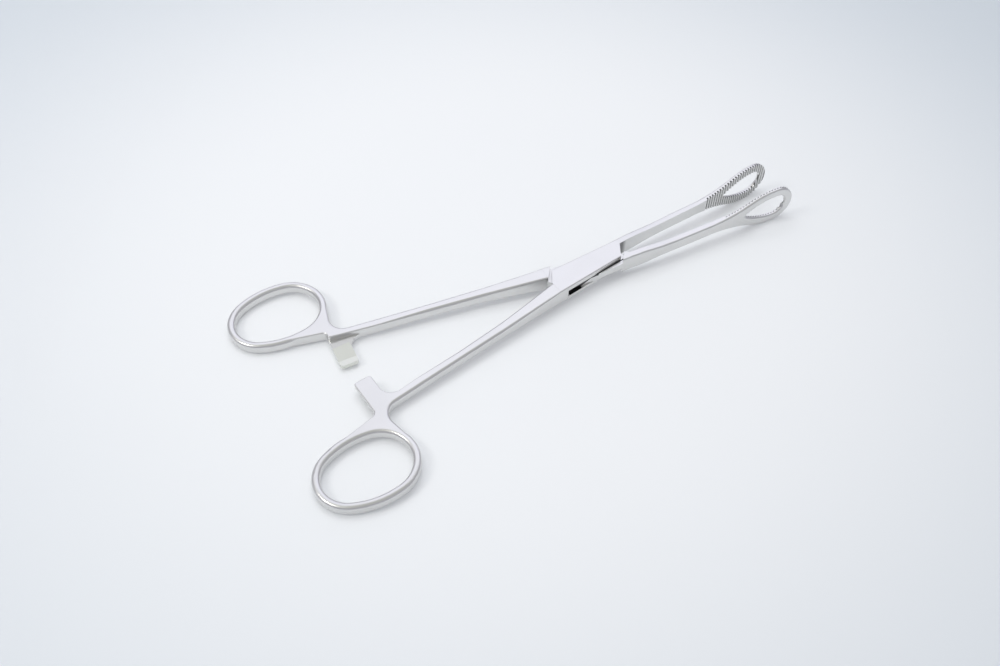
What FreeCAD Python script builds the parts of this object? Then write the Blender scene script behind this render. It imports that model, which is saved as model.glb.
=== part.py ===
import FreeCAD, Part
import math
import os

# Surgical forceps with two finger rings, ratchet tabs, a box lock and serrated loop jaws.
# Millimetres. X runs from the rings to the jaws and Z is the pin axis.
# The origin is on the pin axis, on the flat underside of the box lock.
# The instrument stands as it lies on a table, part way open.

# Pose
HALF_OPENING = 4.6          # each half turned from its closed place, degrees

# Finger rings
RING_FRONT_X = -78.85       # front end of the finger hole, from the pin
RING_INNER_Y = -13.9        # the hole's side towards the other ring
RING_TILT = -4.0            # degrees
RING_HALF_LENGTH = 12.6     # finger hole, half of its long way
RING_HALF_WIDTH = 9.3
RING_SIDE_RADIUS = 21.5     # long sides of the hole
RING_WIDEST = 1.2           # widest place, ahead of the hole's middle
RIM_WIDTH = 2.3
RIM_ROUNDING = 1.0          # leaves a narrow flat crest
HANDLE_THICKNESS = 3.4

# Waist web between ring, tab and shank
WEB_ROUNDING = 0.9          # along the waist
WEB_END_X = -66.0
WAIST_X = -78.25            # innermost point of the waist
WAIST_RADIUS = 4.2
SHANK_SLOPE = 5.0           # degrees, at the web
WEB_SHOULDER = 1.25         # web beside the tab, past the ring's side
WEB_CORNER_RADIUS = 1.4
WEB_NOSE = 0.6              # rounds the web off under the tab

# Ratchet tabs
TAB_X_REAR = -80.85
TAB_X_FRONT = -75.45
TAB_REACH = 2.3             # past the closed centre line
TAB_SINK = 0.8              # the tab's root runs this far into the web
TAB_FOOT_Y = -6.75          # where the tab's front runs out into the shank
TAB_FOOT_STEP = 0.15        # the tab's foot above the edge of the web
TAB_ROOT_RADIUS = 3.6
TAB_TIP_RADIUS = 0.9
TAB_ROUNDING = 0.35
TAB_CLEARANCE = 0.12        # between the crests of the two tabs
TOOTH_PITCH = 2.4
TOOTH_DEPTH = 0.5
TOOTH_COUNT = 3
TOOTH_FIRST = 1.9           # tip of the tab to the first step

# Shanks, as stations from the web towards the box lock: x, outer side, inner side,
# and the share of the way from the handle's thickness to the lock's
SHANK_STATIONS = ((WEB_END_X, -8.9, -6.2, 0.0),
                  (-50.0, -7.55, -4.75, 0.0),
                  (-34.0, -6.3, -3.1, 0.12),
                  (-22.0, -5.25, -1.45, 0.55))
SHANK_ROUNDING = 0.9
SHANK_GAP = 0.15            # each shank to the closed centre line, beside the lock
SHANK_LEDGE = 0.03          # the shank runs into the lock this far inside its faces

# Box lock
LOCK_THICKNESS = 5.5
LOCK_ROUNDING = 0.45
LOCK_FRONT_X = 16.0         # the lock's full thickness ends here and the jaw begins to slim
SLOT_HEIGHT = 2.4
SHOULDER_X = 13.15          # shoulder lines cross the centre line here
SHOULDER_ANGLE = 55.0       # degrees from the centre line
SHOULDER_GAP = 0.15
LOCK_HALF_WIDTH_REAR = 4.55
LOCK_HALF_WIDTH_FRONT = 3.3
TONGUE_CLEARANCE = 0.05     # above and below the tongue
PIN_RADIUS = 1.5
PIN_CLEARANCE = 0.05

# Jaws
JAW_ROOT_X = 9.0
JAW_STRAIGHT_X = 30.0       # the root has blended into the slim part here
JAW_FLARE_X = 44.8
JAW_HALF_HEIGHT = 2.0
JAW_FLARE_RADIUS = 40.0
JAW_TIP_X = 76.2
LOOP_HALF_HEIGHT = 6.8
CLAMP_FACE = ((JAW_ROOT_X, 1.2), (25.5, 1.2), (57.5, 0.12), (78.0, 0.12))
JAW_BACK = ((JAW_ROOT_X, 3.42), (30.0, 3.1), (62.0, 1.62), (78.0, 1.62))
JAW_BEND_REACH = 6.0        # each bend of face and back starts this far from its corner
JAW_ROUNDING = 0.55
HOLE_REAR_X = 58.0
HOLE_REAR_RADIUS = 1.1
HOLE_FRONT_X = 73.6
HOLE_FRONT_RADIUS = 3.9
HOLE_SIDE_RADIUS = 22.0
GROOVE_FIRST_X = 50.6
GROOVE_PITCH = 1.05
GROOVE_DEPTH = 0.7
GROOVE_SHARE = 0.86         # share of the pitch that is groove, the rest is land

V = FreeCAD.Vector
Z_AXIS = V(0, 0, 1)
FAR = 30.0                  # well past the part, for cutting solids
NEAR = 0.01                 # how close counts as touching, when edges are picked
ARC_MIDDLE = 1 - math.sqrt(0.5)     # middle of a quarter arc, as a share of its radius


def line(a, b):
    return Part.LineSegment(a, b)


def bent_line(corners, reach):
    """Straight runs in plan, joined by tangent arcs that begin reach before each corner."""
    points = [V(x, y, 0) for x, y in corners]
    curves = []
    start = points[0]
    for before, corner, after in zip(points, points[1:], points[2:]):
        back = (before - corner).normalize()
        ahead = (after - corner).normalize()
        square = (back + ahead).normalize()
        half_turn = math.pi / 2 - back.getAngle(ahead) / 2
        radius = reach / math.tan(half_turn)
        middle = corner + square * (radius / math.cos(half_turn) - radius)
        curves.append(line(start, corner + back * reach))
        curves.append(Part.Arc(corner + back * reach, middle, corner + ahead * reach))
        start = corner + ahead * reach
    return curves + [line(start, points[-1])]


def plan_y(curves, x):
    """Height at x of a nearly level run of plan curves."""
    for curve in curves:
        if x <= curve.EndPoint.x:
            return curve.value(curve.parameter(V(x, curve.StartPoint.y, 0))).y


def short_arc(centre, start, end):
    """The shorter arc round a centre from start to end."""
    radius = (start - centre).Length
    middle = centre + (start + end - centre * 2).normalize() * radius
    return Part.Arc(start, middle, end)


def sorted_wire(curves):
    return Part.Wire(Part.__sortEdges__([c.toShape() for c in curves]))


def prism(wire, bottom, top):
    wire = wire.copy()
    wire.translate(V(0, 0, bottom))
    return Part.Face(wire).extrude(V(0, 0, top - bottom))


def polygon_prism(points, bottom, top):
    corners = [V(x, y, 0) for x, y in points]
    return prism(Part.makePolygon(corners + corners[:1]), bottom, top)


def edges_where(shape, test):
    return [e for e in shape.Edges if test(e)]


def lies_flat(edge):
    return edge.BoundBox.ZLength < NEAR


def middle_of(edge):
    return edge.valueAt((edge.FirstParameter + edge.LastParameter) / 2)


# Finger ring, round a hole of four tangent arcs

def ring_radii():
    """Front and rear radii of the finger hole, and how far the side arcs' centres lie off its axis."""
    ahead = RING_HALF_LENGTH - RING_WIDEST
    behind = RING_HALF_LENGTH + RING_WIDEST
    bulge = RING_HALF_WIDTH * (2 * RING_SIDE_RADIUS - RING_HALF_WIDTH)
    front = (bulge - ahead ** 2) / (2 * (RING_SIDE_RADIUS - ahead))
    rear = (bulge - behind ** 2) / (2 * (RING_SIDE_RADIUS - behind))
    return front, rear, RING_SIDE_RADIUS - RING_HALF_WIDTH


def ring_joints():
    """Directions in which the arcs meet, round from the front arc's start."""
    front, rear, drop = ring_radii()
    first = math.atan2(drop, RING_HALF_LENGTH - RING_WIDEST - front)
    second = math.atan2(drop, rear - RING_HALF_LENGTH - RING_WIDEST)
    return [-first, first, second, 2 * math.pi - second, 2 * math.pi - first]


def ring_place(u, v):
    """From along and across the finger hole to the plan."""
    tilt = math.radians(RING_TILT)
    x = RING_FRONT_X - RING_HALF_LENGTH + u * math.cos(tilt) - v * math.sin(tilt)
    y = RING_INNER_Y - RING_HALF_WIDTH + u * math.sin(tilt) + v * math.cos(tilt)
    return V(x, y, 0)


def ring_point(offset, turn):
    """Point that lies offset outside the finger hole, where the outline faces the direction turn."""
    front, rear, drop = ring_radii()
    joints = ring_joints()
    if turn <= joints[1]:
        u, v, radius = RING_HALF_LENGTH - front, 0.0, front
    elif turn <= joints[2]:
        u, v, radius = RING_WIDEST, -drop, RING_SIDE_RADIUS
    elif turn <= joints[3]:
        u, v, radius = rear - RING_HALF_LENGTH, 0.0, rear
    else:
        u, v, radius = RING_WIDEST, drop, RING_SIDE_RADIUS
    reach = radius + offset
    return ring_place(u + reach * math.cos(turn), v + reach * math.sin(turn))


def ring_arcs(offset, start, end):
    """Arcs of the outline that lies offset outside the finger hole, from one direction to another."""
    stops = [start] + [j for j in ring_joints() if start < j < end] + [end]
    arcs = []
    for a, b in zip(stops, stops[1:]):
        arcs.append(Part.Arc(ring_point(offset, a), ring_point(offset, (a + b) / 2), ring_point(offset, b)))
    return arcs


def ring_outline(offset):
    joints = ring_joints()
    return sorted_wire(ring_arcs(offset, joints[0], joints[-1]))


def finger_ring():
    half = HANDLE_THICKNESS / 2
    outer = prism(ring_outline(RIM_WIDTH), -half, half)
    hole = prism(ring_outline(0.0), -half, half)
    ring = outer.cut(hole)
    return ring.makeFillet(RIM_ROUNDING, edges_where(ring, lies_flat))


# Web that joins ring, tab and shank

def crest_offset(rounding):
    """How far outside the hole a wall stands, for its rounding to end on the rim's flat crest."""
    crest = RIM_WIDTH - 2 * RIM_ROUNDING
    return RIM_WIDTH / 2 + crest / 4 + rounding


def seam_offset():
    """How far outside the hole the web ends, under the inner part of the crest."""
    crest = RIM_WIDTH - 2 * RIM_ROUNDING
    return RIM_WIDTH / 2 - crest / 4


def waist_centre(shank_end):
    """Centre of the waist's hollow, which leaves the shank's slope."""
    slope = math.radians(SHANK_SLOPE)
    x = WAIST_X + WAIST_RADIUS
    y = shank_end.y + (x - shank_end.x) * math.tan(slope) - WAIST_RADIUS / math.cos(slope)
    return V(x, y, 0)


def leaving_turn(offset, centre, radius, short, past):
    """Direction that the ring faces where a straight run leaves it for the hollow round a centre.
    It is sought between short, where the run would miss the hollow, and past."""
    tilt = math.radians(RING_TILT)
    for step in range(40):
        turn = (short + past) / 2
        facing = V(math.cos(turn + tilt), math.sin(turn + tilt), 0)
        if (centre - ring_point(offset, turn)).dot(facing) > radius:
            past = turn
        else:
            short = turn
    return turn


def hollow(centre, radius, facing, other):
    """Arc round a centre, from the side that looks at the ring to the side in another direction."""
    start = centre - V(math.cos(facing), math.sin(facing), 0) * radius
    return short_arc(centre, start, centre + other * radius)


def corner_y():
    return RING_INNER_Y + RIM_WIDTH + WEB_SHOULDER


def plan_edges(shape, curves):
    """Level edges of a shape that lie on plan curves."""
    plan = Part.makeCompound([c.toShape() for c in curves])

    def on_plan(edge):
        middle = middle_of(edge)
        foot = Part.Vertex(V(middle.x, middle.y, 0))
        return lies_flat(edge) and foot.distToShape(plan)[0] < NEAR

    return edges_where(shape, on_plan)


def waist_web():
    half = HANDLE_THICKNESS / 2
    tilt = math.radians(RING_TILT)
    slope = math.radians(SHANK_SLOPE)
    outer_end = V(WEB_END_X, SHANK_STATIONS[0][1], 0)
    inner_end = V(WEB_END_X, SHANK_STATIONS[0][2], 0)

    offset = crest_offset(TAB_ROUNDING)
    centre = V(TAB_X_REAR - WEB_CORNER_RADIUS, corner_y() + WEB_CORNER_RADIUS, 0)
    top_turn = leaving_turn(offset, centre, WEB_CORNER_RADIUS, 3 * math.pi / 4, math.pi / 4)
    top_leave = ring_point(offset, top_turn)
    corner = hollow(centre, WEB_CORNER_RADIUS, top_turn + tilt, V(1, 0, 0))
    tab_front = V(TAB_X_FRONT + TAB_ROOT_RADIUS, TAB_FOOT_Y - TAB_FOOT_STEP, 0)
    nose = [(TAB_X_REAR, corner.EndPoint.y), (TAB_X_REAR, corner.EndPoint.y + WEB_NOSE * 3 / 2),
            (tab_front.x, tab_front.y)]
    inner_side = [line(top_leave, corner.StartPoint), corner, *bent_line(nose, WEB_NOSE),
                  line(tab_front, inner_end)]

    offset = crest_offset(WEB_ROUNDING)
    centre = waist_centre(outer_end)
    low_turn = leaving_turn(offset, centre, WAIST_RADIUS, -math.pi / 4, math.pi / 4)
    low_leave = ring_point(offset, low_turn)
    waist = hollow(centre, WAIST_RADIUS, low_turn + tilt, V(-math.sin(slope), math.cos(slope), 0))
    outer_side = [line(low_leave, waist.StartPoint), waist, line(waist.EndPoint, outer_end)]

    seam = ring_arcs(seam_offset(), low_turn, top_turn)
    ends = [line(top_leave, seam[-1].EndPoint), line(low_leave, seam[0].StartPoint),
            line(outer_end, inner_end)]
    web = prism(sorted_wire(inner_side + outer_side + seam + ends), -half, half)
    web = web.makeFillet(TAB_ROUNDING, plan_edges(web, inner_side))
    return web.makeFillet(WEB_ROUNDING, plan_edges(web, outer_side))


# Ratchet tab, upper half of the handle thickness, teeth underneath

def ratchet_tab():
    top = HANDLE_THICKNESS / 2
    bottom = TAB_CLEARANCE / 2
    foot_x = TAB_X_FRONT + TAB_ROOT_RADIUS
    turn = TAB_ROOT_RADIUS * ARC_MIDDLE
    root_y = corner_y() + WEB_CORNER_RADIUS - TAB_SINK
    root = V(TAB_X_REAR, root_y, 0)
    tip_rear = V(TAB_X_REAR, TAB_REACH, 0)
    tip_front = V(TAB_X_FRONT, TAB_REACH, 0)
    hollow_top = V(TAB_X_FRONT, TAB_FOOT_Y + TAB_ROOT_RADIUS, 0)
    hollow_middle = V(TAB_X_FRONT + turn, TAB_FOOT_Y + turn, 0)
    foot = V(foot_x, TAB_FOOT_Y, 0)
    in_web = V(foot_x, TAB_FOOT_Y - TAB_SINK, 0)
    outline = sorted_wire([line(root, tip_rear), line(tip_rear, tip_front), line(tip_front, hollow_top),
                           Part.Arc(hollow_top, hollow_middle, foot), line(foot, in_web),
                           line(in_web, root)])
    tab = prism(outline, bottom, top)

    def at_tip(edge):
        return not lies_flat(edge) and edge.BoundBox.YMin > TAB_REACH - NEAR

    def on_rim(edge):
        box = edge.BoundBox
        at_top = box.ZMin > top - NEAR
        return at_top and box.YMax > TAB_FOOT_Y + NEAR

    tab = tab.makeFillet(TAB_TIP_RADIUS, edges_where(tab, at_tip))
    tab = tab.makeFillet(TAB_ROUNDING, edges_where(tab, on_rim))
    for i in range(TOOTH_COUNT):
        tip = TAB_REACH - TOOTH_FIRST - i * TOOTH_PITCH
        tab = tab.cut(tooth_cutter(tip, bottom))
    return tab


def tooth_cutter(tip, bottom):
    """Ramp under the tab. Its step faces the root and is as deep as the tooth."""
    root = tip - TOOTH_PITCH
    ramp = [V(0, tip, bottom + TOOTH_DEPTH), V(0, root, bottom),
            V(0, root, bottom - TOOTH_DEPTH), V(0, tip, bottom - TOOTH_DEPTH)]
    cutter = Part.Face(Part.makePolygon(ramp + ramp[:1])).extrude(V(FAR, 0, 0))
    cutter.translate(V(TAB_X_REAR - FAR / 2, 0, 0))
    return cutter


# Shank, a loft through rounded sections that thicken towards the lock

def rounded_section(x, low, high, half, radius):
    """Rectangle with round corners, square to X."""
    turn = radius * ARC_MIDDLE
    arcs = []
    for y, z, sy, sz in ((high, half, 1, 1), (low, half, -1, 1), (low, -half, -1, -1), (high, -half, 1, -1)):
        side = V(x, y, z - sz * radius)
        middle = V(x, y - sy * turn, z - sz * turn)
        flat = V(x, y - sy * radius, z)
        if sy * sz > 0:
            arcs.append((side, middle, flat))
        else:
            arcs.append((flat, middle, side))
    edges = []
    for i, (start, middle, end) in enumerate(arcs):
        next_start = arcs[(i + 1) % 4][0]
        edges.append(Part.Arc(start, middle, end).toShape())
        edges.append(line(end, next_start).toShape())
    return Part.Wire(edges)


def end_wire(web):
    """Section that the web ends with, where the shank goes on from it."""
    for face in web.Faces:
        box = face.BoundBox
        if box.XLength < NEAR and abs(box.XMax - WEB_END_X) < NEAR:
            return face.OuterWire


def shank(web):
    lock_rear = -SHOULDER_X - shoulder_shift(SHANK_GAP)
    outer = -lock_half_width(lock_rear) + SHANK_LEDGE
    inner = -SHANK_GAP - SHANK_LEDGE
    lock_half = LOCK_THICKNESS / 2 - SHANK_LEDGE
    sections = [end_wire(web)]
    for x, low, high, rise in SHANK_STATIONS[1:]:
        half = (HANDLE_THICKNESS + (LOCK_THICKNESS - HANDLE_THICKNESS) * rise) / 2
        rounding = SHANK_ROUNDING + (LOCK_ROUNDING - SHANK_ROUNDING) * rise
        sections.append(rounded_section(x, low, high, half, rounding))
    in_lock = lock_rear + LOCK_ROUNDING
    sections.append(rounded_section(in_lock, outer, inner, lock_half, LOCK_ROUNDING))
    return Part.makeLoft(sections, True, True)


# Jaw with its loop and serrations

def jaw_side_view():
    lock_half = LOCK_THICKNESS / 2
    drop = (lock_half - JAW_HALF_HEIGHT) / 2
    run = (JAW_STRAIGHT_X - LOCK_FRONT_X) / 2
    root_radius = (run * run + drop * drop) / (2 * drop)
    tip_radius = LOOP_HALF_HEIGHT
    tip_x = JAW_TIP_X - tip_radius
    first = JAW_FLARE_RADIUS
    dx = tip_x - JAW_FLARE_X
    dz = JAW_HALF_HEIGHT + first - LOOP_HALF_HEIGHT
    second = (dx * dx + dz * dz - first * first) / (2 * (first - dz))
    reach = first / (first + second)
    bend_x = JAW_FLARE_X + dx * reach
    bend_z = JAW_HALF_HEIGHT + first - (dz + second) * reach

    def on_circle(cx, cz, r, x, up):
        return cz + up * math.sqrt(r * r - (x - cx) ** 2)

    def upper(sign):
        root = V(JAW_ROOT_X, 0, sign * lock_half)
        shoulder = V(LOCK_FRONT_X, 0, sign * lock_half)
        half_way = V(LOCK_FRONT_X + run, 0, sign * (lock_half - drop))
        straight = V(JAW_STRAIGHT_X, 0, sign * JAW_HALF_HEIGHT)
        flare = V(JAW_FLARE_X, 0, sign * JAW_HALF_HEIGHT)
        bend = V(bend_x, 0, sign * bend_z)
        crown = V(tip_x, 0, sign * LOOP_HALF_HEIGHT)
        x0 = LOCK_FRONT_X + run / 2
        z0 = on_circle(LOCK_FRONT_X, lock_half - root_radius, root_radius, x0, 1)
        x1 = JAW_STRAIGHT_X - run / 2
        z1 = on_circle(JAW_STRAIGHT_X, JAW_HALF_HEIGHT + root_radius, root_radius, x1, -1)
        x2 = (JAW_FLARE_X + bend_x) / 2
        z2 = on_circle(JAW_FLARE_X, JAW_HALF_HEIGHT + first, first, x2, -1)
        x3 = (bend_x + tip_x) / 2
        z3 = on_circle(tip_x, LOOP_HALF_HEIGHT - second, second, x3, 1)
        return [line(root, shoulder), Part.Arc(shoulder, V(x0, 0, sign * z0), half_way),
                Part.Arc(half_way, V(x1, 0, sign * z1), straight), line(straight, flare),
                Part.Arc(flare, V(x2, 0, sign * z2), bend), Part.Arc(bend, V(x3, 0, sign * z3), crown)]

    tip = Part.Arc(V(tip_x, 0, LOOP_HALF_HEIGHT), V(JAW_TIP_X, 0, 0), V(tip_x, 0, -LOOP_HALF_HEIGHT))
    back = line(V(JAW_ROOT_X, 0, -lock_half), V(JAW_ROOT_X, 0, lock_half))
    return sorted_wire(upper(1) + [tip] + upper(-1) + [back])


def hole_outline():
    """Drop-shaped hole: a small round rear, bulging sides and a large round front."""
    rear = HOLE_REAR_X + HOLE_REAR_RADIUS
    front = HOLE_FRONT_X - HOLE_FRONT_RADIUS
    big = HOLE_SIDE_RADIUS
    difference = HOLE_FRONT_RADIUS - HOLE_REAR_RADIUS
    total = HOLE_FRONT_RADIUS + HOLE_REAR_RADIUS
    u = (difference * (2 * big - total) + front ** 2 - rear ** 2) / (2 * (front - rear))
    v = math.sqrt((big - HOLE_REAR_RADIUS) ** 2 - (u - rear) ** 2)

    def touch(centre_x, sign):
        length = math.hypot(centre_x - u, v)
        return V(u + (centre_x - u) * big / length, 0, sign * (v * big / length - v))

    curves = [Part.Arc(touch(rear, 1), V(HOLE_REAR_X, 0, 0), touch(rear, -1)),
              Part.Arc(touch(front, 1), V(HOLE_FRONT_X, 0, 0), touch(front, -1))]
    for sign in (1, -1):
        curves.append(short_arc(V(u, 0, -sign * v), touch(rear, sign), touch(front, sign)))
    return sorted_wire(curves)


def jaw_grooves(face):
    half = GROOVE_SHARE * GROOVE_PITCH / 2
    lift = GROOVE_DEPTH / 2
    wide = half * (GROOVE_DEPTH + lift) / GROOVE_DEPTH
    count = int((JAW_TIP_X - GROOVE_FIRST_X) / GROOVE_PITCH)
    grooves = []
    for i in range(count):
        x = GROOVE_FIRST_X + i * GROOVE_PITCH
        y = plan_y(face, x)
        corners = [(x - wide, y - lift), (x + wide, y - lift), (x, y + GROOVE_DEPTH)]
        grooves.append(polygon_prism(corners, -FAR / 2, FAR / 2))
    return Part.makeCompound(grooves)


def jaw():
    side = Part.Face(jaw_side_view()).extrude(V(0, FAR, 0))
    face = bent_line(CLAMP_FACE, JAW_BEND_REACH)
    back = bent_line(JAW_BACK, JAW_BEND_REACH)
    ends = [line(face[0].StartPoint, back[0].StartPoint), line(face[-1].EndPoint, back[-1].EndPoint)]
    plan = prism(sorted_wire(face + back + ends), -FAR / 2, FAR / 2)
    body = side.common(plan)
    body = body.cut(Part.Face(hole_outline()).extrude(V(0, FAR, 0)))
    back_wall = sorted_wire(back).extrude(V(0, 0, FAR))
    back_wall.translate(V(0, 0, -FAR / 2))

    def on_back(edge):
        middle = middle_of(edge)
        on_wall = Part.Vertex(middle).distToShape(back_wall)[0] < NEAR
        return on_wall and middle.x > JAW_ROOT_X + NEAR

    body = body.makeFillet(JAW_ROUNDING, edges_where(body, on_back))
    return body.cut(jaw_grooves(face))


# Box lock

def shoulder_shift(y):
    return y / math.tan(math.radians(SHOULDER_ANGLE))


def lock_half_width(x):
    share = (x + SHOULDER_X) / (2 * SHOULDER_X)
    return LOCK_HALF_WIDTH_REAR + (LOCK_HALF_WIDTH_FRONT - LOCK_HALF_WIDTH_REAR) * share


def edge_end(sign):
    """Where a shoulder line meets the side of the lock."""
    tangent = math.tan(math.radians(SHOULDER_ANGLE))
    slope = (LOCK_HALF_WIDTH_REAR - LOCK_HALF_WIDTH_FRONT) / (2 * SHOULDER_X)
    y = (LOCK_HALF_WIDTH_REAR if sign < 0 else LOCK_HALF_WIDTH_FRONT) / (1 + sign * -slope / tangent)
    return sign * (SHOULDER_X - y / tangent), y


def lock_block():
    rear = -SHOULDER_X - shoulder_shift(SHANK_GAP)
    rear_x, rear_y = edge_end(-1)
    front_x, front_y = edge_end(1)
    clamp = CLAMP_FACE[0][1]
    outline = [(rear, -SHANK_GAP), (rear, -lock_half_width(rear)), (front_x, -front_y),
               (SHOULDER_X + shoulder_shift(clamp), clamp), (LOCK_FRONT_X, clamp),
               (LOCK_FRONT_X, lock_half_width(LOCK_FRONT_X)), (rear_x, rear_y)]
    half = LOCK_THICKNESS / 2
    block = polygon_prism(outline, -half, half)

    def long_side(edge):
        box = edge.BoundBox
        return lies_flat(edge) and box.XLength > SHOULDER_X

    return block.makeFillet(LOCK_ROUNDING, edges_where(block, long_side))


def way_through(bottom, top):
    """Between the slanted ends of the box, open on both sides of the lock."""
    x = SHOULDER_X + SHOULDER_GAP
    reach = 3 * LOCK_HALF_WIDTH_REAR
    shift = shoulder_shift(reach)
    outline = [(-x, 0.0), (-x + shift, -reach), (x + shift, -reach),
               (x, 0.0), (x - shift, reach), (-x - shift, reach)]
    return polygon_prism(outline, bottom, top)


# Both halves come from the same forging, apart from the tab

def forging(tab):
    web = waist_web()
    return finger_ring().multiFuse([web, tab, shank(web), lock_block(), jaw()]).removeSplitter()


def bore(radius):
    return Part.makeCylinder(radius, LOCK_THICKNESS, V(0, 0, -LOCK_THICKNESS / 2), Z_AXIS)


def box_half():
    blank = forging(ratchet_tab())
    half = SLOT_HEIGHT / 2
    return blank.cut(way_through(-half, half)).cut(bore(PIN_RADIUS))


def tongue_half():
    blank = forging(ratchet_tab().mirror(V(0, 0, 0), Z_AXIS))
    half = SLOT_HEIGHT / 2 - TONGUE_CLEARANCE
    cheeks = way_through(half, FAR).fuse(way_through(-FAR, -half))
    shape = blank.cut(cheeks).cut(bore(PIN_RADIUS + PIN_CLEARANCE))
    return shape.mirror(V(0, 0, 0), V(0, 1, 0))


def save(name, shape, turn):
    placed = shape.copy()
    placed.rotate(V(0, 0, 0), Z_AXIS, turn)
    placed.translate(V(0, 0, LOCK_THICKNESS / 2))
    placed.exportStep("parts/" + name + ".step")


def main():
    os.makedirs("parts", exist_ok=True)
    save("box_half", box_half(), HALF_OPENING)
    save("tongue_half", tongue_half(), -HALF_OPENING)
    save("pivot_pin", bore(PIN_RADIUS), HALF_OPENING)


main()
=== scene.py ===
import math
import bpy
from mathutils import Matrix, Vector

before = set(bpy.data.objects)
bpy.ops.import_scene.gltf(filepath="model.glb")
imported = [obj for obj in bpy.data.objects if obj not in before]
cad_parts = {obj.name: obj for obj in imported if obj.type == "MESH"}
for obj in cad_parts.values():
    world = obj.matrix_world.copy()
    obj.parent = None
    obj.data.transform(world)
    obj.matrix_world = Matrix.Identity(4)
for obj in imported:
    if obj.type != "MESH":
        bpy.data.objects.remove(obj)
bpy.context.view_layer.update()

MM = 0.001

# Camera, from the picture's own geometry
CAMERA_PLACE = (-129.45 * MM, -167.83 * MM, 229.17 * MM)
CAMERA_VIEW = (0.3210, 0.5461, -0.7738)
LENS_MM = 36.0
SENSOR_MM = 36.0

# Table: the loops' lower edges and the rings' rear undersides rest on it
TABLE_FRONT = (69.0 * MM, -4.05 * MM)
TABLE_REAR = (-104.0 * MM, 1.05 * MM)
TABLE_REACH = 3.0
PAINTED_GLOW_CENTRE = (-15.0 * MM, 25.0 * MM, 0.0)      # the painted light on the board fades outwards from here
PAINTED_GLOW_REACH = (70.0 * MM, 260.0 * MM)            # where the fading starts and ends

# Serrations, in the jaw's own frame: along the jaw from the pin, and away from the clamping face
HALF_OPENING = math.radians(4.6)
GROOVE_FIRST = 50.6 * MM
GROOVE_PITCH = 1.05 * MM
GROOVE_DEPTH = 0.7 * MM
GROOVE_STRIPE = (0.16 * MM, 0.34 * MM)          # from a groove's middle, where it starts and ends fading
FACE_BEND = ((25.5 * MM, 1.2 * MM), (57.5 * MM, 0.12 * MM))

# Box lock, in mm from the pin: where shade is painted in the slot, in the line under the cheek and in the
# corner at the front end
SLOT_REAR, CHEEK_FRONT = -9.2, 12.9
CORNER_FRONT = 16.6
CHEEK_SLANT = 0.108         # how much the cheek's edge nears the middle for each mm forwards
CHEEK_SIDE = 4.2            # the edge's distance from the middle, beside the pin

# Roughness: rings, then shanks, lock and jaws
RING_ROUGHNESS = 0.33
SATIN_ROUGHNESS = 0.29

# Colours, as sRGB hex
STEEL = "e2e2e1"
STEEL_SHADE = "dadad9"
GROOVE_PAINTED_SHADE = "747473"
TAB_PAINTED_REFLECTION = "e4e6df"
PIN_STEEL = "dededd"
LOCK_PAINTED_SHADE = "4c4c4e"
TABLE_WHITE = "d2d4d6"
TABLE_PAINTED_GLOW = "7a7b7d"
TABLE_EDGE_PAINTED_GLOW = "0d374d"
WINDOW_TINT = "edeeff"
OVERHEAD_TINT = "f8fafe"
LAMP_TINT = "fffdf8"
ROOM_TOP = "c4c5c1"
ROOM_SIDE = "b6b5be"
ROOM_LOW = "a8a7b0"

# Lights: place and size in metres, and how bright their faces look
WINDOW_PLACE = (0.21, 0.36, 0.47)
WINDOW_SIZE = (0.95, 0.60)
WINDOW_GLOW = 0.75
OVERHEAD_PLACE = (0.0, 0.12, 0.55)
OVERHEAD_SIZE = (0.45, 0.45)
OVERHEAD_GLOW = 2.4
LAMP_PLACE = (-0.60, 0.12, 0.68)
LAMP_SIZE = (0.24, 0.24)
LAMP_GLOW = 9.0


def colour(code):
    """sRGB hex to linear RGBA."""
    values = []
    for i in (0, 2, 4):
        c = int(code[i:i + 2], 16) / 255
        values.append(c / 12.92 if c <= 0.04045 else ((c + 0.055) / 1.055) ** 2.4)
    return (*values, 1.0)


def node(tree, kind, settings=None, inputs=None, links=None):
    """Adds one node: its settings, its input values, and links from (node, output) into inputs."""
    made = tree.nodes.new(kind)
    for name, value in (settings or {}).items():
        setattr(made, name, value)
    for name, value in (inputs or {}).items():
        made.inputs[name].default_value = value
    for name, (source, output) in (links or {}).items():
        tree.links.new(source.outputs[output], made.inputs[name])
    return made


def new_material(name):
    material = bpy.data.materials.new(name)
    material.use_nodes = True
    material.node_tree.nodes.clear()
    return material, material.node_tree


def between(tree, source, output, low, high):
    """1 where a coordinate lies between low and high, in mm."""
    return node(tree, "ShaderNodeMath", {"operation": "COMPARE"},
                inputs={1: (low + high) / 2 * MM, 2: (high - low) / 2 * MM}, links={0: (source, output)})


def both(tree, a, b):
    """1 where both masks are 1."""
    return node(tree, "ShaderNodeMath", {"operation": "MULTIPLY"}, links={0: (a, 0), 1: (b, 0)})


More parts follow.
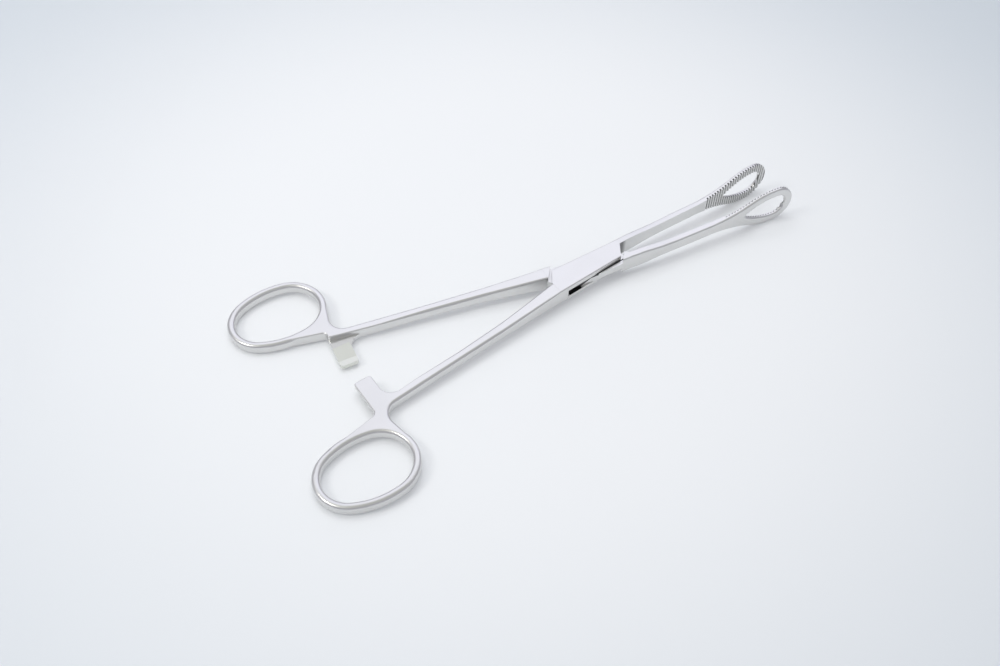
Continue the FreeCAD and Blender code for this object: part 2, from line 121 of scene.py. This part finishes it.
def serration_mask(tree, split, side):
    """1 in the grooves of the serrations, where shade is painted, 0 elsewhere, for both jaws."""
    spot = node(tree, "ShaderNodeCombineXYZ", links={"X": (split, "X"), "Y": (side, "Value")})
    c, s = math.cos(HALF_OPENING), math.sin(HALF_OPENING)
    along = node(tree, "ShaderNodeVectorMath", {"operation": "DOT_PRODUCT"}, inputs={1: (c, s, 0)},
                 links={0: (spot, "Vector")})
    away = node(tree, "ShaderNodeVectorMath", {"operation": "DOT_PRODUCT"}, inputs={1: (-s, c, 0)},
                links={0: (spot, "Vector")})
    (x0, y0), (x1, y1) = FACE_BEND
    face = node(tree, "ShaderNodeMapRange",
                inputs={"From Min": x0, "From Max": x1, "To Min": y0, "To Max": y1},
                links={"Value": (along, "Value")})
    depth = node(tree, "ShaderNodeMath", {"operation": "SUBTRACT"},
                 links={0: (away, "Value"), 1: (face, "Result")})
    shallow = node(tree, "ShaderNodeMapRange",
                   inputs={"From Min": GROOVE_DEPTH, "From Max": 1.15 * GROOVE_DEPTH,
                           "To Min": 1.0, "To Max": 0.0}, links={"Value": (depth, "Value")})
    beyond = node(tree, "ShaderNodeMath", {"operation": "SUBTRACT"}, inputs={1: GROOVE_FIRST},
                  links={0: (along, "Value")})
    off_middle = node(tree, "ShaderNodeMath", {"operation": "PINGPONG"}, inputs={1: GROOVE_PITCH / 2},
                      links={0: (beyond, "Value")})
    stripe = node(tree, "ShaderNodeMapRange",
                  inputs={"From Min": GROOVE_STRIPE[0], "From Max": GROOVE_STRIPE[1],
                          "To Min": 1.0, "To Max": 0.0},
                  links={"Value": (off_middle, "Value")})
    started = node(tree, "ShaderNodeMath", {"operation": "GREATER_THAN"}, inputs={1: -GROOVE_PITCH / 2},
                   links={0: (beyond, "Value")})
    return both(tree, both(tree, stripe, shallow), started)


def lock_painted_shade_mask(tree, split, side):
    """1 where shade is painted in the narrow gaps of the box lock, and towards 1 in the corner at its front
    end.
    """
    # Shade is painted in the slot to its full height behind the pin, and in a thin line ahead of it,
    # because the tongue stands out past the cheeks there
    outward = node(tree, "ShaderNodeMath", {"operation": "MULTIPLY_ADD"}, inputs={1: CHEEK_SLANT},
                   links={0: (split, "X"), 2: (side, "Value")})
    floor = node(tree, "ShaderNodeMapRange",
                 inputs={"From Min": -4.5 * MM, "From Max": -1.0 * MM,
                         "To Min": 1.5 * MM, "To Max": 3.3 * MM},
                 links={"Value": (split, "X")})
    over_floor = node(tree, "ShaderNodeMath", {"operation": "GREATER_THAN"},
                      links={0: (split, "Z"), 1: (floor, "Result")})
    height = both(tree, between(tree, split, "Z", 1.49, 3.86), over_floor)
    plan = both(tree, between(tree, split, "X", SLOT_REAR, CHEEK_FRONT),
                between(tree, outward, "Value", -CHEEK_SIDE, CHEEK_SIDE))
    slot = both(tree, plan, height)
    # On the tongue's flat only a thin line of painted shadow is left under the edge of the cheek
    edge = both(tree, between(tree, outward, "Value", 3.75, CHEEK_SIDE),
                between(tree, split, "Z", 3.3, 3.97))
    line = both(tree, edge, between(tree, split, "X", -1.0, CHEEK_FRONT))
    gap_shade = node(tree, "ShaderNodeMath", {"operation": "MAXIMUM"}, links={0: (slot, 0), 1: (line, 0)})
    # Painted shade in the corner at the front end, fading out forwards
    fading = node(tree, "ShaderNodeMapRange",
                  inputs={"From Min": 15.2 * MM, "From Max": CORNER_FRONT * MM, "To Min": 0.7, "To Max": 0.0},
                  links={"Value": (split, "X")})
    front = both(tree, between(tree, split, "X", 13.0, CORNER_FRONT), between(tree, split, "Y", -3.2, 3.2))
    corner = both(tree, both(tree, front, between(tree, split, "Z", 0.35, 5.35)), fading)
    return node(tree, "ShaderNodeMath", {"operation": "MAXIMUM"},
                links={0: (gap_shade, "Value"), 1: (corner, "Value")})


def toothed_tab_mask(tree, split, side):
    """1 on the toothed face of the lower ratchet tab."""
    plan = both(tree, between(tree, split, "X", -81.5, -74.9), between(tree, side, "Value", 0, 11.6))
    return both(tree, plan, between(tree, split, "Z", -0.5, 3.2))


def satin_forged_steel():
    """Forged stainless steel, ground and then satin finished by fine grit: broad soft reflections,
    a little softer on the round finger rings than on the flat shanks and the lock."""
    material, tree = new_material("satin_forged_stainless_steel")
    place = node(tree, "ShaderNodeTexCoord")
    grain_at = node(tree, "ShaderNodeMapping", inputs={"Scale": (0.12, 1.0, 1.0)},
                    links={"Vector": (place, "Object")})
    # Satin grain about 0.15 mm across, drawn out along the shanks
    grain = node(tree, "ShaderNodeTexNoise", inputs={"Scale": 1 / (0.15 * MM), "Detail": 2.0},
                 links={"Vector": (grain_at, "Vector")})
    # Slow unevenness of the hand grinding, over about 9 mm
    waves = node(tree, "ShaderNodeTexNoise", inputs={"Scale": 1 / (9 * MM), "Detail": 1.0},
                 links={"Vector": (place, "Object")})
    split = node(tree, "ShaderNodeSeparateXYZ", links={"Vector": (place, "Object")})
    side = node(tree, "ShaderNodeMath", {"operation": "ABSOLUTE"}, links={0: (split, "Y")})
    # The rings end and the shanks begin near x = -75 mm
    finish = node(tree, "ShaderNodeMapRange", {"interpolation_type": "SMOOTHSTEP"},
                  inputs={"From Min": -78 * MM, "From Max": -70 * MM, "To Min": RING_ROUGHNESS,
                          "To Max": SATIN_ROUGHNESS},
                  links={"Value": (split, "X")})
    spread = node(tree, "ShaderNodeMath", {"operation": "MULTIPLY_ADD"},
                  inputs={1: 0.06, 2: -0.03}, links={0: (grain, "Fac")})
    rough = node(tree, "ShaderNodeMath", {"operation": "ADD"},
                 links={0: (finish, "Result"), 1: (spread, "Value")})
    tint = node(tree, "ShaderNodeMix", {"data_type": "RGBA"},
                inputs={"A": colour(STEEL), "B": colour(STEEL_SHADE)},
                links={"Factor": (waves, "Fac")})
    # Painted shade: the groove bottoms of the serrations are painted dark between the bright lands; their
    # extra roughness below is a real unpolished finish
    groove = serration_mask(tree, split, side)
    groove_shaded = node(tree, "ShaderNodeMix", {"data_type": "RGBA"}, inputs={"B": colour(GROOVE_PAINTED_SHADE)},
                   links={"Factor": (groove, "Value"), "A": (tint, "Result")})
    # Painted shade: the gaps of the lock and the corner at its front end are painted dark, where shadow falls
    # between the parts
    gap_shade = lock_painted_shade_mask(tree, split, side)
    shaded = node(tree, "ShaderNodeMix", {"data_type": "RGBA"}, inputs={"B": colour(LOCK_PAINTED_SHADE)},
                  links={"Factor": (gap_shade, "Value"), "A": (groove_shaded, "Result")})
    # The toothed tab is left matt, as it came off the file; its lighter, greenish tone is a painted
    # reflection of the floor
    tab = toothed_tab_mask(tree, split, side)
    tab_reflection_tinted = node(tree, "ShaderNodeMix", {"data_type": "RGBA"}, inputs={"B": colour(TAB_PAINTED_REFLECTION)},
                 links={"Factor": (tab, "Value"), "A": (shaded, "Result")})
    matt = node(tree, "ShaderNodeMath", {"operation": "MULTIPLY_ADD"}, inputs={1: 0.15},
                links={0: (tab, "Value"), 2: (rough, "Value")})
    worn = node(tree, "ShaderNodeMath", {"operation": "MULTIPLY_ADD"}, inputs={1: 0.2},
                links={0: (groove, "Value"), 2: (matt, "Value")})
    bump = node(tree, "ShaderNodeBump", inputs={"Strength": 0.06, "Distance": 0.004 * MM},
                links={"Height": (grain, "Fac")})
    shader = node(tree, "ShaderNodeBsdfPrincipled", inputs={"Metallic": 1.0},
                  links={"Base Color": (tab_reflection_tinted, "Result"), "Roughness": (worn, "Value"),
                         "Normal": (bump, "Normal")})
    node(tree, "ShaderNodeOutputMaterial", links={"Surface": (shader, "BSDF")})
    return material


def ground_pin_steel():
    """Stainless rivet ground flush with the lock: the same metal, with a rounder, finer grind."""
    material, tree = new_material("flush_ground_rivet_steel")
    place = node(tree, "ShaderNodeTexCoord")
    rings = node(tree, "ShaderNodeTexWave", {"wave_type": "RINGS", "rings_direction": "Z"},
                 inputs={"Scale": 1 / (0.8 * MM), "Distortion": 1.5, "Detail": 1.0},
                 links={"Vector": (place, "Object")})
    rough = node(tree, "ShaderNodeMapRange", inputs={"To Min": 0.28, "To Max": 0.30},
                 links={"Value": (rings, "Fac")})
    shader = node(tree, "ShaderNodeBsdfPrincipled",
                  inputs={"Metallic": 1.0, "Base Color": colour(PIN_STEEL)},
                  links={"Roughness": (rough, "Result")})
    node(tree, "ShaderNodeOutputMaterial", links={"Surface": (shader, "BSDF")})
    return material


def white_table():
    """Smooth white table board, matt, with painted light: it glows, which keeps the shadows on it light and
    soft.
    """
    material, tree = new_material("white_matt_board")
    place = node(tree, "ShaderNodeTexCoord")
    fleck = node(tree, "ShaderNodeTexNoise", inputs={"Scale": 1 / (60 * MM), "Detail": 2.0},
                 links={"Vector": (place, "Object")})
    rough = node(tree, "ShaderNodeMapRange", inputs={"To Min": 0.55, "To Max": 0.65},
                 links={"Value": (fleck, "Fac")})
    # The painted glow is less and cooler towards the board's edges, standing in for light falling off
    far = node(tree, "ShaderNodeVectorMath", {"operation": "DISTANCE"}, inputs={1: PAINTED_GLOW_CENTRE},
               links={0: (place, "Object")})
    fade = node(tree, "ShaderNodeMapRange", {"interpolation_type": "SMOOTHSTEP"},
                inputs={"From Min": PAINTED_GLOW_REACH[0], "From Max": PAINTED_GLOW_REACH[1]},
                links={"Value": (far, "Value")})
    glow = node(tree, "ShaderNodeMix", {"data_type": "RGBA"},
                inputs={"A": colour(TABLE_PAINTED_GLOW), "B": colour(TABLE_EDGE_PAINTED_GLOW)},
                links={"Factor": (fade, "Result")})
    shader = node(tree, "ShaderNodeBsdfPrincipled",
                  inputs={"Base Color": colour(TABLE_WHITE), "Emission Strength": 1.0},
                  links={"Roughness": (rough, "Result"), "Emission Color": (glow, "Result")})
    node(tree, "ShaderNodeOutputMaterial", links={"Surface": (shader, "BSDF")})
    return material


def lay_table(material):
    """A wide plane through the two lines that the instrument rests on."""
    (x0, z0), (x1, z1) = TABLE_REAR, TABLE_FRONT
    slope = (z1 - z0) / (x1 - x0)

    def at(x, y):
        return (x, y, z0 + slope * (x - x0))

    mesh = bpy.data.meshes.new("table")
    reach = TABLE_REACH
    mesh.from_pydata([at(-reach, -reach), at(reach, -reach), at(reach, reach), at(-reach, reach)],
                     [], [(0, 1, 2, 3)])
    mesh.materials.append(material)
    table = bpy.data.objects.new("table", mesh)
    bpy.context.scene.collection.objects.link(table)


def softbox(name, place, size, glow, tint, mirrored=True, lights_table=True):
    """A rectangular soft light aimed at the lock. glow is the brightness of its face, whatever its size."""
    light = bpy.data.lights.new(name, "AREA")
    light.shape = "RECTANGLE"
    light.size, light.size_y = size
    light.energy = glow * math.pi * size[0] * size[1]
    light.color = colour(tint)[:3]
    lamp = bpy.data.objects.new(name, light)
    bpy.context.scene.collection.objects.link(lamp)
    lamp.location = place
    lamp.rotation_euler = (-Vector(place)).to_track_quat("-Z", "Y").to_euler()
    lamp.visible_glossy = mirrored
    lamp.visible_diffuse = lights_table


def light_room():
    """Pale grey room round the table. The window wall is only mirrored, for the bright flat tops, and
    the overhead softbox isn't, so that it lights the table alone."""
    world = bpy.data.worlds.new("studio")
    world.use_nodes = True
    tree = world.node_tree
    tree.nodes.clear()
    look = node(tree, "ShaderNodeTexCoord")
    split = node(tree, "ShaderNodeSeparateXYZ", links={"Vector": (look, "Generated")})
    ramp = node(tree, "ShaderNodeValToRGB", links={"Fac": (split, "Z")})
    bands = ramp.color_ramp.elements
    bands[0].position, bands[0].color = 0.0, colour(ROOM_LOW)
    bands[1].position, bands[1].color = 0.9, colour(ROOM_TOP)
    side = bands.new(0.4)
    side.color = colour(ROOM_SIDE)
    sky = node(tree, "ShaderNodeBackground", links={"Color": (ramp, "Color")})
    node(tree, "ShaderNodeOutputWorld", links={"Surface": (sky, "Background")})
    bpy.context.scene.world = world
    softbox("window_wall", WINDOW_PLACE, WINDOW_SIZE, WINDOW_GLOW, WINDOW_TINT,
            lights_table=False)
    softbox("overhead_softbox", OVERHEAD_PLACE, OVERHEAD_SIZE, OVERHEAD_GLOW, OVERHEAD_TINT,
            mirrored=False)
    softbox("side_lamp", LAMP_PLACE, LAMP_SIZE, LAMP_GLOW, LAMP_TINT)


def place_camera():
    data = bpy.data.cameras.new("camera")
    data.sensor_width = SENSOR_MM
    data.lens = LENS_MM
    data.clip_start = 0.01
    camera = bpy.data.objects.new("camera", data)
    bpy.context.scene.collection.objects.link(camera)
    camera.location = CAMERA_PLACE
    camera.rotation_euler = Vector(CAMERA_VIEW).to_track_quat("-Z", "Y").to_euler()
    bpy.context.scene.camera = camera


def dress_nodes():
    steel = satin_forged_steel()
    for name in ("box_half", "tongue_half"):
        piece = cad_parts[name]
        piece.data.materials.clear()
        piece.data.materials.append(steel)
    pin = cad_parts["pivot_pin"]
    pin.data.materials.clear()
    pin.data.materials.append(ground_pin_steel())


place_camera()
light_room()
lay_table(white_table())
dress_nodes()
bpy.context.scene.view_settings.view_transform = "Standard"
